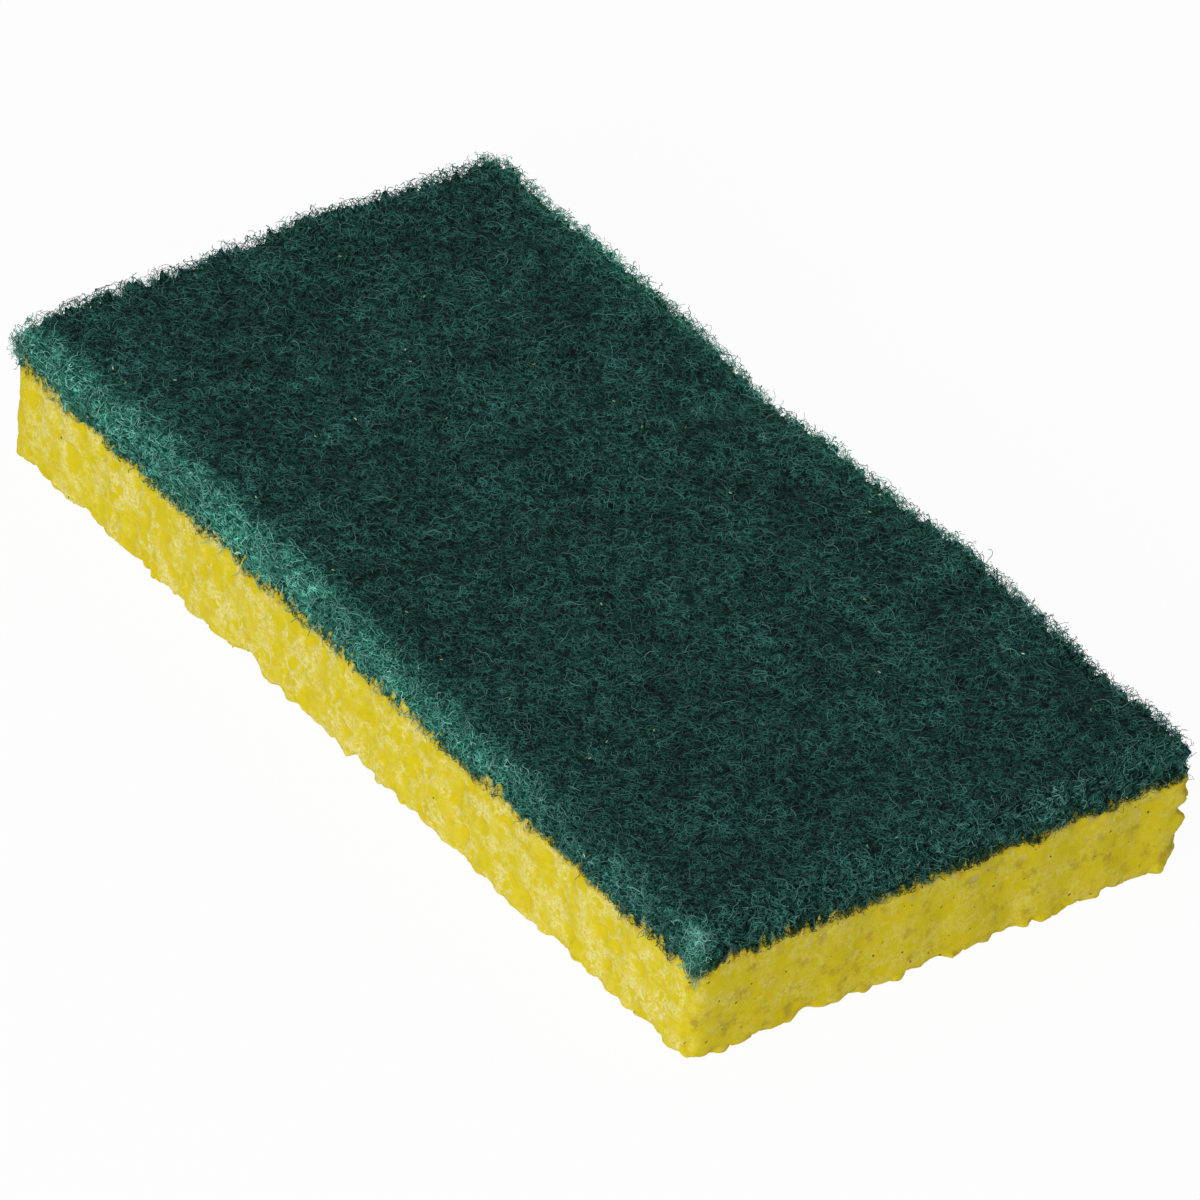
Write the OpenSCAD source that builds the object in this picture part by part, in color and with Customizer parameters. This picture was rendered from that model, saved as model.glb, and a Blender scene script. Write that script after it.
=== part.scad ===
// A kitchen sponge for scrubbing: a block of yellow cellulose foam with a
// pad of matted green fibres laminated to its top. Lengths are millimetres.
// The origin is the middle of the underside, and X runs along the length.

/* [Overall] */
// Length of the sponge, along X
sponge_l = 159; // [120:1:180]
// Width of the sponge, along Y
sponge_w = 82; // [60:1:110]
// Radius of the four upright corners
corner_r = 2.5; // [1.5:0.5:5]

/* [Cellulose block] */
// Height of the block
block_t = 15.2; // [12:0.1:30]
// Deepest hollow between two high spots of a cut side
side_wave = 0.7; // [0.1:0.1:1]
// Distance between those high spots
wave_pitch = 11; // [8:1:16]

/* [Pores of the block] */
// Distance between the places where a side can have a pore
pore_pitch = 4.6; // [4.4:0.1:6]
// Share of those places that do have one
pore_share = 0.72; // [0.2:0.01:1]
// Radius of the smallest pore
pore_r_min = 0.8; // [0.6:0.1:1.2]
// Radius of the largest pore
pore_r_max = 1.7; // [1.3:0.1:1.9]
// How deep a pore is cut, as a share of its radius
pore_depth = 0.6; // [0.4:0.05:0.8]
// Distance between the places where the underside can have a pore
under_pitch = 7.5; // [6:0.5:12]

/* [Scouring pad] */
// Greatest height of the pad above the block
pad_t = 7.8; // [5:0.1:12]
// How far the top lies below that between its swells
pad_sink = 0.8; // [0:0.1:1.5]
// Height of the small lumps that matted fibres leave on the top
lump_h = 0.7; // [0:0.1:1.2]
// Distance between those lumps
lump_pitch = 8; // [6:1:12]
// Radius of the rounded edge around the top
pad_edge_r = 2.4; // [1:0.1:3]
// Deepest nick in the ragged cut side
pad_nick = 0.8; // [0:0.1:1.2]
// Distance between the points of the pad's surface
pad_cell = 3; // [2.5:0.5:6]

/* [Hidden] */

// Least wall between two pores, and between a pore and the top of the block
pore_wall = 0.2;
pore_drift = (pore_pitch - pore_wall) / 2 - pore_r_max;
// The lowest row of pores is centred on the lower edge, and the highest one
// stays just under the pad
pore_top = block_t - pore_r_max - pore_drift - pore_wall;
pore_rows = round(pore_top / pore_pitch) + 1;
row_pitch = pore_top / (pore_rows - 1);
corner_room = pore_r_max + pore_drift + pore_wall;
under_room = 3 * pore_r_max + corner_r;
wave_steps = 4;
corner_steps = 4;

// Swells and hollows along the pad's edges: middle as shares of the half
// length and half width, height against the pad's usual top, and reach in mm
pad_swells = [
    [-1, 0.2, 0.8, 11],
    [-1, -0.72, 0.7, 8],
    [0.38, 1, 0.8, 10],
    [-0.16, 1, -1.4, 15],
    [0.76, 1, -1.3, 13],
    [1, 0.6, -1, 18],
    [0.92, -0.92, 0.5, 14]
];
// Distances from the side at which the rounded edge has its points
edge_steps = [0, 0.5, 1.3, 2.6];
side_rings = 3;

// A repeatable chance from 0 to 1 for each whole number and each use
function chance(i, use) =
    let (v = sin(i * 78.233 + use * 37.719) * 43758.5453)
    v - floor(v);

function ease(t) = t * t * (3 - 2 * t);

// Smooth noise from 0 to 1 over a square lattice
function noise(x, y, pitch, use) =
    let (
        i = floor(x / pitch),
        j = floor(y / pitch),
        u = ease(x / pitch - i),
        v = ease(y / pitch - j),
        near = chance(i * 57 + j * 113, use) * (1 - u)
            + chance((i + 1) * 57 + j * 113, use) * u,
        far = chance(i * 57 + (j + 1) * 113, use) * (1 - u)
            + chance((i + 1) * 57 + (j + 1) * 113, use) * u
    )
    near * (1 - v) + far * v;

// The four sides run anticlockwise from the front, y = -sponge_w / 2
function side_along(side) = [cos(90 * side), sin(90 * side)];
function side_out(side) = [sin(90 * side), -cos(90 * side)];
function side_len(side) = (side % 2 == 0 ? sponge_l : sponge_w) - 2 * corner_r;
function side_dist(side) = (side % 2 == 0 ? sponge_w : sponge_l) / 2;
function side_waves(side) = round(side_len(side) / wave_pitch);

// How far a cut side lies inside its flat plane, at s from the side's middle
function hollow(side, s, depth, use) =
    let (
        at = (s / side_len(side) + 0.5) * side_waves(side),
        wave = floor(at)
    )
    at <= 0 || at >= side_waves(side) ? 0
    : depth * chance(100 * side + wave, use) * (1 - cos(360 * (at - wave))) / 2;

function side_point(side, s, out) =
    side_along(side) * s + side_out(side) * (side_dist(side) + out);

function block_side(side) = [
    for (i = [0 : wave_steps * side_waves(side)])
        let (s = side_len(side) * (i / (wave_steps * side_waves(side)) - 0.5))
        side_point(side, s, -hollow(side, s, side_wave, 1))
];

function block_corner(side) = [
    for (i = [1 : corner_steps - 1])
        let (turn = 90 * i / corner_steps)
        side_point(side, side_len(side) / 2 + corner_r * sin(turn), corner_r * (cos(turn) - 1))
];

// One pore of a side: which place it takes, how large it is and where it lies
function pore_columns(side) =
    floor((side_len(side) - 2 * corner_room) / pore_pitch);
function pore_key(side, column, row) = 1000 * side + 10 * column + row;
function pore_radius(key) = pore_r_min + (pore_r_max - pore_r_min) * chance(key, 3);
function pore_shift(key, use) = pore_drift * (2 * chance(key, use) - 1);
function pore_middle(side, column, row) =
    let (
        key = pore_key(side, column, row),
        stagger = row % 2 == 0 ? 0.25 : -0.25,
        s = (column - (pore_columns(side) - 1) / 2 + stagger) * pore_pitch + pore_shift(key, 4),
        out = pore_radius(key) * (1 - pore_depth) - hollow(side, s, side_wave, 1),
        at = side_point(side, s, out)
    )
    [at.x, at.y, row * row_pitch + pore_shift(key, 5)];

module pore(key) {
    sphere(r = pore_radius(key), $fn = 24);
}

module side_pores() {
    for (side = [0 : 3], column = [0 : pore_columns(side) - 1], row = [0 : pore_rows - 1]) {
        key = pore_key(side, column, row);
        if (chance(key, 2) < pore_share)
            translate(pore_middle(side, column, row)) pore(key);
    }
}

module under_pores() {
    across = floor((sponge_l / 2 - under_room) / under_pitch);
    deep = floor((sponge_w / 2 - under_room) / under_pitch);
    for (i = [-across : across], j = [-deep : deep]) {
        key = 5000 + 100 * (i + across) + j + deep;
        room = under_pitch / 2 - pore_r_max - pore_wall;
        drift = [2 * chance(key, 4) - 1, 2 * chance(key, 5) - 1] * room;
        if (chance(key, 2) < pore_share)
            translate([
                i * under_pitch + drift.x,
                j * under_pitch + drift.y,
                -pore_radius(key) * (1 - pore_depth)
            ])
                pore(key);
    }
}

// The block is cut through its pores, so its sides and underside are pitted
// and its lower edge is scalloped. It stands on the flat between the pores.
module sponge_block() {
    color([0.85, 0.78, 0.25])
        difference() {
            linear_extrude(block_t)
                polygon([
                    for (side = [0 : 3], p = concat(block_side(side), block_corner(side))) p
                ]);
            side_pores();
            under_pores();
        }
}

// The pad's surface is a grid, with closer rows at its rounded edge
function grid_line(half) =
    let (
        inner = half - edge_steps[len(edge_steps) - 1],
        count = round(2 * inner / pad_cell)
    )
    concat(
        [for (d = edge_steps) d - half],
        [for (i = [1 : count - 1]) inner * (2 * i / count - 1)],
        [for (i = [len(edge_steps) - 1 : -1 : 0]) half - edge_steps[i]]
    );

// A square corner drawn in to the round one
function tuck(x, y) =
    let (
        qx = abs(x) - sponge_l / 2 + corner_r,
        qy = abs(y) - sponge_w / 2 + corner_r,
        share = qx > 0 && qy > 0 ? max(qx, qy) / norm([qx, qy]) : 1
    )
    share == 1 ? [x, y]
    : [sign(x) * (abs(x) + qx * (share - 1)), sign(y) * (abs(y) + qy * (share - 1))];

// The nicks of the cut side, which fade out inside the rounded edge
function nick(side, s, d, use) =
    d >= pad_edge_r ? 0 : hollow(side, s, pad_nick, use) * (1 - d / pad_edge_r);

function pad_place(x, y, use) =
    let (
        p = tuck(x, y),
        dx = nick(x > 0 ? 1 : 3, y * sign(x), sponge_l / 2 - abs(x), use),
        dy = nick(y > 0 ? 2 : 0, -x * sign(y), sponge_w / 2 - abs(y), use)
    )
    [p.x - sign(x) * dx, p.y - sign(y) * dy];

// Height of one swell at a distance from its middle, which dies out at its reach
function swell(x, y, at) =
    let (d = norm([x - at[0] * sponge_l / 2, y - at[1] * sponge_w / 2]) / at[3])
    d < 1 ? at[2] * ease(1 - d) : 0;

function total(list, i = 0) = i == len(list) ? 0 : list[i] + total(list, i + 1);

// How far a quarter round has dropped at d inside its side, as a share of its height
function round_drop(d) =
    d >= pad_edge_r ? 0 : 1 - sqrt(1 - pow(1 - d / pad_edge_r, 2));

function pad_height(x, y) =
    let (
        d = min(sponge_l / 2 - abs(x), sponge_w / 2 - abs(y)),
        lump = lump_h * noise(x, y, lump_pitch, 6),
        full = pad_t - pad_sink - lump + total([for (at = pad_swells) swell(x, y, at)])
    )
    full - min(pad_edge_r, full / 2) * round_drop(d);

grid_x = grid_line(sponge_l / 2);
grid_y = grid_line(sponge_w / 2);
nx = len(grid_x);
ny = len(grid_y);
ring_n = 2 * (nx - 1) + 2 * (ny - 1);

// Column and row of the border point that lies m steps round from the first
function ring_spot(m) =
    m < nx - 1 ? [m, 0]
    : m < nx + ny - 2 ? [nx - 1, m - nx + 1]
    : m < 2 * nx + ny - 3 ? [2 * nx + ny - 3 - m, ny - 1]
    : [0, ring_n - m];

// Point of a ring of the side wall: ring 0 is the grid's own border
function wall_point(m, ring) =
    let (
        x = grid_x[ring_spot(m)[0]],
        y = grid_y[ring_spot(m)[1]],
        at = pad_place(x, y, 7 + ring)
    )
    [at.x, at.y, block_t + pad_height(x, y) * (1 - ring / side_rings)];

function wall_index(m, ring) =
    ring == 0 ? ring_spot(m % ring_n)[0] + nx * ring_spot(m % ring_n)[1]
    : nx * ny + ring_n * (ring - 1) + m % ring_n;

// The pad: a flat bonded face below, ragged cut sides and a lumpy, swollen top
module scour_pad() {
    middle = nx * ny + ring_n * side_rings;
    points = concat(
        [for (y = grid_y, x = grid_x) concat(pad_place(x, y, 7), block_t + pad_height(x, y))],
        [for (ring = [1 : side_rings], m = [0 : ring_n - 1]) wall_point(m, ring)],
        [[0, 0, block_t]]
    );
    top = [
        for (j = [0 : ny - 2], i = [0 : nx - 2], half = [0, 1])
            let (a = i + nx * j)
            half == 0 ? [a, a + nx, a + 1] : [a + 1, a + nx, a + nx + 1]
    ];
    wall = [
        for (ring = [0 : side_rings - 1], m = [0 : ring_n - 1], half = [0, 1])
            half == 0 ? [wall_index(m, ring), wall_index(m + 1, ring), wall_index(m, ring + 1)]
            : [wall_index(m + 1, ring), wall_index(m + 1, ring + 1), wall_index(m, ring + 1)]
    ];
    bottom = [
        for (m = [0 : ring_n - 1])
            [wall_index(m, side_rings), wall_index(m + 1, side_rings), middle]
    ];
    color([0.13, 0.27, 0.24])
        polyhedron(points, concat(top, wall, bottom));
}

sponge_block();
scour_pad();
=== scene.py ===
# %% [markdown]
# # A scrub sponge, from its foam to its fibres
# This kitchen sponge is two soft pieces bonded together. Below is a block of yellow cellulose
# foam, cut through its pores. Above is a scouring pad, a mat of crimped plastic fibres stuck
# to each other with dark green resin. The exact solids come from the frame, and each cell
# below turns one of them, or one of its details, into what the eye sees.

# %% Load the frame
import math

import bmesh
import bpy
import numpy as np
from mathutils import Matrix, Vector


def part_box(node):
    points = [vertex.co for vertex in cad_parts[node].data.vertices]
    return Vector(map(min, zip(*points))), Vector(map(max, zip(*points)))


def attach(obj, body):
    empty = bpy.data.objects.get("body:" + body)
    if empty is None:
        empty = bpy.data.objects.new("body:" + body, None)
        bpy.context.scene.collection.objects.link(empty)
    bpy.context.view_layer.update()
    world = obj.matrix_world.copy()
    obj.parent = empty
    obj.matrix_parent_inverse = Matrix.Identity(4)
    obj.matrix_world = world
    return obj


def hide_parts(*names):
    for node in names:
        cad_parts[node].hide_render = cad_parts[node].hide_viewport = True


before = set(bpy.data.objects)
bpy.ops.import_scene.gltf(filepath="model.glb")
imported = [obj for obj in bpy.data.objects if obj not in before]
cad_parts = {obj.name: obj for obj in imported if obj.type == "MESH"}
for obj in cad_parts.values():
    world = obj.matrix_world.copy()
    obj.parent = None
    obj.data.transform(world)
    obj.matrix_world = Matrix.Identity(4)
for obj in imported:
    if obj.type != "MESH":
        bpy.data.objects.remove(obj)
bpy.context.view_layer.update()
MM = 0.001
BLOCK_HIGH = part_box("sponge_block")[1]
HALF_L, HALF_W, BOND_Z = BLOCK_HIGH
PAD_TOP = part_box("scour_pad")[1].z

# %% [markdown]
# ## Small tools
# Node trees get long when every socket is set on a line of its own. One function that adds a
# node, sets it up and wires it keeps them readable, for geometry and for materials alike, and
# the kinds of node and the settings that come most often have short names. A noise has lumps
# of about one over its scale, and two helpers turn it into heights or into soft patches.
# Paint colours are written as a screen shows them and made linear for shading.

# %% Helpers for nodes and colours
MATH, VECTOR, RANGE = "ShaderNodeMath", "ShaderNodeVectorMath", "ShaderNodeMapRange"
SPLIT, JOIN = "ShaderNodeSeparateXYZ", "ShaderNodeCombineXYZ"
NOISE, MIX = "ShaderNodeTexNoise", "ShaderNodeMix"
MOVE, BLUR = "GeometryNodeSetPosition", "GeometryNodeBlurAttribute"
STORE = "GeometryNodeStoreNamedAttribute"
SMOOTH = {"interpolation_type": "SMOOTHSTEP"}
VECTORS, COLOURS = {"data_type": "FLOAT_VECTOR"}, {"data_type": "RGBA"}
PLUS, MINUS = {"operation": "ADD"}, {"operation": "SUBTRACT"}
TIMES, OVER = {"operation": "MULTIPLY"}, {"operation": "DIVIDE"}
TIMES_PLUS, SCALED = {"operation": "MULTIPLY_ADD"}, {"operation": "SCALE"}
MOST, LEAST, SIZE_OF = {"operation": "MAXIMUM"}, {"operation": "MINIMUM"}, {"operation": "ABSOLUTE"}


def put(tree, kind, *given, **settings):
    """Add a node with its settings, and feed its inputs in their order, or by name from a dict.

    An input is fed a value, a socket, or a node, which stands for its first output.
    """
    node = tree.nodes.new(kind)
    for name, value in settings.items():
        setattr(node, name, value)
    sockets = [socket for socket in node.inputs if socket.enabled]
    named = given[-1] if given and isinstance(given[-1], dict) else {}
    fed = list(zip(sockets, given[:-1] if named else given))
    fed += [(next(s for s in sockets if s.name == name), value) for name, value in named.items()]
    for socket, value in fed:
        if isinstance(value, bpy.types.Node):
            value = next(out for out in value.outputs if out.enabled)
        if isinstance(value, bpy.types.NodeSocket):
            tree.links.new(value, socket)
        else:
            socket.default_value = value
    return node


def lumps(tree, place, size, detail, roughness, height):
    """Soft lumps of a size, as a height above and below the middle."""
    lump = put(tree, NOISE, place, 1 / size, detail, roughness)
    return put(tree, MATH, put(tree, MATH, lump, 0.5, **MINUS), height, **TIMES)


def mottle(tree, place, size, detail, roughness, *span):
    """Soft-edged patches of a size: a smooth ramp over noise, by its limits and two values."""
    return put(tree, RANGE, put(tree, NOISE, place, 1 / size, detail, roughness), *span, **SMOOTH)


def linear(hex_code):
    """An sRGB hex colour as linear RGBA."""
    parts = [int(hex_code[i:i + 2], 16) / 255 for i in (1, 3, 5)]
    return [c / 12.92 if c <= 0.04045 else ((c + 0.055) / 1.055) ** 2.4 for c in parts] + [1]


def bare_material(name):
    """A new material, and its tree with nothing in it yet."""
    material = bpy.data.materials.new(name)
    material.use_nodes = True
    material.node_tree.nodes.clear()
    return material, material.node_tree


# %% [markdown]
# ## The camera
# The sponge is seen from above one short end, through a very long lens, so that its edges stay
# almost parallel. Such a lens is easiest to place by its direction: three unit vectors give
# what is right, up and back for the camera, and a small roll tips the picture.

# %% Camera
VIEW_AZIMUTH = math.radians(51.7)
VIEW_ELEVATION = math.radians(36.5)
VIEW_ROLL = math.radians(4.3)
VIEW_DISTANCE = 1.588
LENS_MM, SENSOR_MM = 351.0, 36
AIM_RIGHT, AIM_UP = 2.1 * MM, 7.5 * MM
CLIP_NEAR, CLIP_FAR = 0.05, 20

back = Vector((
    math.sin(VIEW_AZIMUTH) * math.cos(VIEW_ELEVATION),
    -math.cos(VIEW_AZIMUTH) * math.cos(VIEW_ELEVATION),
    math.sin(VIEW_ELEVATION),
))
level_right = Vector((math.cos(VIEW_AZIMUTH), math.sin(VIEW_AZIMUTH), 0))
level_up = back.cross(level_right)
cam_right = level_right * math.cos(VIEW_ROLL) + level_up * math.sin(VIEW_ROLL)
cam_up = level_up * math.cos(VIEW_ROLL) - level_right * math.sin(VIEW_ROLL)

camera = bpy.data.objects.new("camera", bpy.data.cameras.new("camera"))
bpy.context.scene.collection.objects.link(camera)
camera.data.lens = LENS_MM
camera.data.sensor_width = SENSOR_MM
camera.data.clip_start, camera.data.clip_end = CLIP_NEAR, CLIP_FAR
turn = Matrix((cam_right, cam_up, back)).transposed().to_4x4()
aim = cam_right * AIM_RIGHT + cam_up * AIM_UP
camera.matrix_world = Matrix.Translation(aim + back * VIEW_DISTANCE) @ turn
bpy.context.scene.camera = camera
print("camera at", [round(v, 3) for v in camera.matrix_world.translation])

# %% [markdown]
# ## Light and floor
# A plain studio: a white sky all round, one large soft lamp from the side of the long face,
# and a white floor. Soft boxes are sized by what they do: level 1 lights a surface that faces
# the lamp so that its colour renders as it is written. The floor mixes in plain white for the
# camera only, which thins the shadow on it without putting more light on the sponge.

# %% Studio
SKY_LEVEL = 0.33
FLOOR_COLOUR = "#fafafa"
FLOOR_WHITE_SHARE = 0.96
FLOOR_REACH = 4
LAMP_DIRECTION = (0.427, -0.785, 0.45)
LAMP_DISTANCE, LAMP_SIZE, LAMP_LEVEL = 3.0, 1.0, 0.60


def soft_box(name, direction, distance, size, level):
    """A square lamp that shines on the origin from a direction."""
    toward = Vector(direction).normalized()
    lamp = bpy.data.objects.new(name, bpy.data.lights.new(name, "AREA"))
    bpy.context.scene.collection.objects.link(lamp)
    lamp.data.size = size
    lamp.data.energy = level * math.pi ** 2 * distance ** 2
    lamp.matrix_world = (
        Matrix.Translation(toward * distance) @ toward.to_track_quat("Z", "Y").to_matrix().to_4x4()
    )


def seen_or_mirrored(tree):
    """1 for what the camera sees straight, mirrored or through glass, otherwise 0."""
    path = put(tree, "ShaderNodeLightPath")
    either = put(tree, MATH, path.outputs["Is Camera Ray"], path.outputs["Is Glossy Ray"], **MOST)
    return put(tree, MATH, either, path.outputs["Is Transmission Ray"], **MOST)


def make_world():
    world = bpy.data.worlds.new("white_studio")
    world.use_nodes = True
    tree = world.node_tree
    tree.nodes.clear()
    sky = put(tree, "ShaderNodeBackground", {"Color": (1, 1, 1, 1), "Strength": SKY_LEVEL})
    paper = put(tree, "ShaderNodeBackground", {"Color": (1, 1, 1, 1), "Strength": 1.0})
    mix = put(tree, "ShaderNodeMixShader", seen_or_mirrored(tree), sky, paper)
    put(tree, "ShaderNodeOutputWorld", {"Surface": mix})
    return world


def make_floor():
    mesh = bpy.data.meshes.new("floor")
    corners = [(x * FLOOR_REACH, y * FLOOR_REACH, 0) for x, y in ((-1, -1), (1, -1), (1, 1), (-1, 1))]
    mesh.from_pydata(corners, [], [(0, 1, 2, 3)])
    floor = bpy.data.objects.new("floor", mesh)
    bpy.context.scene.collection.objects.link(floor)
    paint, tree = bare_material("matt_white_paper")
    matt = put(tree, "ShaderNodeBsdfDiffuse", {"Color": linear(FLOOR_COLOUR)})
    white = put(tree, "ShaderNodeEmission", {"Color": (1, 1, 1, 1), "Strength": 1.0})
    share = put(tree, MATH, seen_or_mirrored(tree), FLOOR_WHITE_SHARE, **TIMES)
    mix = put(tree, "ShaderNodeMixShader", share, matt, white)
    put(tree, "ShaderNodeOutputMaterial", {"Surface": mix})
    mesh.materials.append(paint)


bpy.context.scene.world = make_world()
make_floor()
soft_box("side_soft_box", LAMP_DIRECTION, LAMP_DISTANCE, LAMP_SIZE, LAMP_LEVEL)
bpy.context.scene.view_settings.view_transform = "Standard"
print("sky level", SKY_LEVEL, "and lamp level", LAMP_LEVEL)

# %% [markdown]
# ## Working from the exact solids
# The frame's solids have the true sizes, pores and swells, but their faces are loose triangles
# of every size. A copy with its points merged is a clean closed skin, and Voxel Remesh lays an
# even net over it, fine enough to carve. Each finished piece is turned into a plain mesh.

# %% Copies and plain meshes
SAME_POINT = 0.002 * MM


def skin_copy(node, name):
    """A closed copy of a solid's mesh, with its doubled points merged."""
    shape = bmesh.new()
    shape.from_mesh(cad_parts[node].data)
    bmesh.ops.remove_doubles(shape, verts=shape.verts, dist=SAME_POINT)
    mesh = bpy.data.meshes.new(name)
    shape.to_mesh(mesh)
    shape.free()
    copy = bpy.data.objects.new(name, mesh)
    bpy.context.scene.collection.objects.link(copy)
    return copy


def plain(worked, name):
    """The evaluated object as a plain mesh object, in place of the worked one."""
    graph = bpy.context.evaluated_depsgraph_get()
    mesh = bpy.data.meshes.new_from_object(
        worked.evaluated_get(graph), preserve_all_data_layers=True, depsgraph=graph
    )
    bpy.data.objects.remove(worked)
    mesh.name = name
    done = bpy.data.objects.new(name, mesh)
    bpy.context.scene.collection.objects.link(done)
    mesh.calc_loop_triangles()
    print(f"{name}: {len(mesh.loop_triangles)} triangles")
    return done


def geometry_tree(name, inputs):
    """A new geometry tree with a mesh in and out, and a named input for each value."""
    tree = bpy.data.node_groups.new(name, "GeometryNodeTree")
    face = tree.interface
    face.new_socket("Geometry", in_out="INPUT", socket_type="NodeSocketGeometry")
    face.new_socket("Geometry", in_out="OUTPUT", socket_type="NodeSocketGeometry")
    for label, kind in inputs.items():
        face.new_socket(label, in_out="INPUT", socket_type="NodeSocket" + kind)
    return tree, put(tree, "NodeGroupInput").outputs


def run_tree(worked, tree, values):
    """Add the tree to an object, with its inputs set by their sockets' identifiers."""
    modifier = worked.modifiers.new(tree.name, "NODES")
    modifier.node_group = tree
    for item in tree.interface.items_tree:
        if item.in_out == "INPUT" and item.name in values:
            modifier[item.identifier] = values[item.name]


# %% [markdown]
# ## Carving the foam
# Cellulose foam is a froth of viscose that set round salt crystals, which were washed out
# later. A cut through it shows round and stretched hollows of half a millimetre to four, with
# soft walls between. The solid already has its larger pores, so here they are softened and
# bent out of round, and smaller ones are pressed in between them by Voronoi cells of three
# sizes. An attribute remembers for the paint how deep a point lies below the blurred surface.


# %% The wavy bond
# Foam and mat were cut together, and the line between them wanders up and down on the cut
# sides. Both are made to follow the same noise, so that they keep touching.
WAVE_PITCH = 6 * MM
WAVE_HEIGHT = 4.6 * MM
# Where a tuft of the mat hangs over the foam, or the foam rises: x, y, reach and rise in mm.
BOND_DIPS = [
    (79.5, -41.0, 1.5, -2.8),
    (76.2, -41.0, 1.7, 1.9),
    (42.0, -41.0, 2.0, -0.9),
    (79.5, 16.0, 2.5, -0.9),
]


def bond_wave(tree, split):
    """How far the bond's edge lies above or below its plane, at a point's x and y."""
    flat = put(tree, JOIN, split[0], split[1], 0.0)
    wave = lumps(tree, flat, WAVE_PITCH, 4.0, 0.68, WAVE_HEIGHT)
    for x, y, reach, rise in BOND_DIPS:
        far = put(tree, VECTOR, flat, (x * MM, y * MM, 0.0), operation="DISTANCE")
        raised = put(tree, RANGE, far, reach * MM, 0.0, 0.0, rise * MM, **SMOOTH)
        wave = put(tree, MATH, wave, raised, **PLUS)
    return wave


# %% Pore cells
# Pores are cells of three sizes, bent out of round by noise.
WIDE_PORE, MIDDLE_PORE, SMALL_PORE = 3.5 * MM, 1.8 * MM, 0.9 * MM
PORE_BEND, PORE_BEND_PITCH = 1.9 * MM, 2.2 * MM


def cells(tree, where, size, least, most, wall):
    """How deep a point lies in round Voronoi hollows: 1 in the middle, 0 on the walls."""
    cell = put(tree, "ShaderNodeTexVoronoi", {"Vector": where, "Scale": 1 / size})
    reach = put(tree, RANGE, put(tree, SPLIT, cell.outputs["Color"]), 0, 1, least, most)
    inside = put(tree, MATH, cell.outputs["Distance"], put(tree, MATH, reach, 0.02, **MOST), **OVER)
    return put(tree, RANGE, inside, 1.0, wall, **SMOOTH)


def pore_cells(tree, place):
    """The large and the small pores at a place, for the carving and for the paint alike."""
    bend = put(tree, NOISE, place, 1 / PORE_BEND_PITCH, 3.0, 0.6).outputs["Color"]
    bent = put(tree, VECTOR, bend, (PORE_BEND,) * 3, place, **TIMES_PLUS)
    widest = cells(tree, bent, WIDE_PORE, -0.3, 0.66, 0.3)
    middle = cells(tree, bent, MIDDLE_PORE, -0.15, 0.66, 0.2)
    large = put(tree, MATH, widest, middle, **MOST)
    return large, cells(tree, bent, SMALL_PORE, 0.1, 0.62, 0.1)


# %% Softening and bending
# Zones where a change fades in, from and to: how far in from a side, down from the bond, up
# from the floor, or along the block. The front is the cut end that faces the camera.
FRONT_ZONE = (2.4 * MM, 0.8 * MM)
CARVED_DOWN, BENT_UP, FULL_DEPTH_UP = (0.3 * MM, 1.4 * MM), (0.2 * MM, 2.5 * MM), (0.02 * MM, 0.6 * MM)
SMOOTHED_UP, SMOOTHED_DOWN = (1.5 * MM, 3.5 * MM), (1.0 * MM, 3.0 * MM)
# How often each blur is repeated: on the solid's own pores, on the front, and for the paint.
PORE_BLUR, FRONT_BLUR, PAINT_BLUR = 7, 40, 26
WALL_BEND_PITCH = 3.2 * MM


def softened(tree, foam, place, up, below_top, front):
    """Soften the solid's own pores, and the front, which was cut smoother, a good deal more."""
    blurred = put(tree, BLUR, place, PORE_BLUR, **VECTORS)
    soft = put(tree, MOVE, {"Geometry": foam, "Position": blurred})
    lower = put(tree, RANGE, up, *SMOOTHED_UP, **SMOOTH)
    upper = put(tree, RANGE, below_top, *SMOOTHED_DOWN, **SMOOTH)
    smooth_front = put(tree, MATH, put(tree, MATH, front, lower, **TIMES), upper, **TIMES)
    blurred = put(tree, BLUR, place, FRONT_BLUR, smooth_front, **VECTORS)
    return put(tree, MOVE, {"Geometry": soft, "Position": blurred})


def wall_bend(tree, given, place, up, free, front):
    """The push that bends the walls out of round, weak on the front and none at the bond."""
    raised = put(tree, RANGE, up, *BENT_UP, **SMOOTH)
    sway = put(tree, NOISE, place, 1 / WALL_BEND_PITCH).outputs["Color"]
    sway = put(tree, VECTOR, sway, (0.5, 0.5, 0.5), **MINUS)
    sway = put(tree, VECTOR, sway, put(tree, JOIN, 1.0, 1.0, raised), **TIMES)
    swing = put(tree, MATH, free, put(tree, RANGE, front, 0, 1, 1, 0.25), **TIMES)
    return put(tree, VECTOR, put(tree, VECTOR, sway, given["Bend"], **SCALED), swing, **SCALED)


# %% Pores and torn edges
# Crumbs are the finest lumps of the walls, lobes the larger bits that break away at the edges.
CRUMB_SIZE, CRUMB_HEIGHT = 0.9 * MM, 0.35 * MM
LOBE_SIZE, LOBE_BEND, LOBE_BEND_PITCH = 3.2 * MM, 1.2 * MM, 3 * MM
NIPPED_IN, NIPPED_ALONG = (2.2 * MM, 0.5 * MM), (-50 * MM, 50 * MM)


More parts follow.
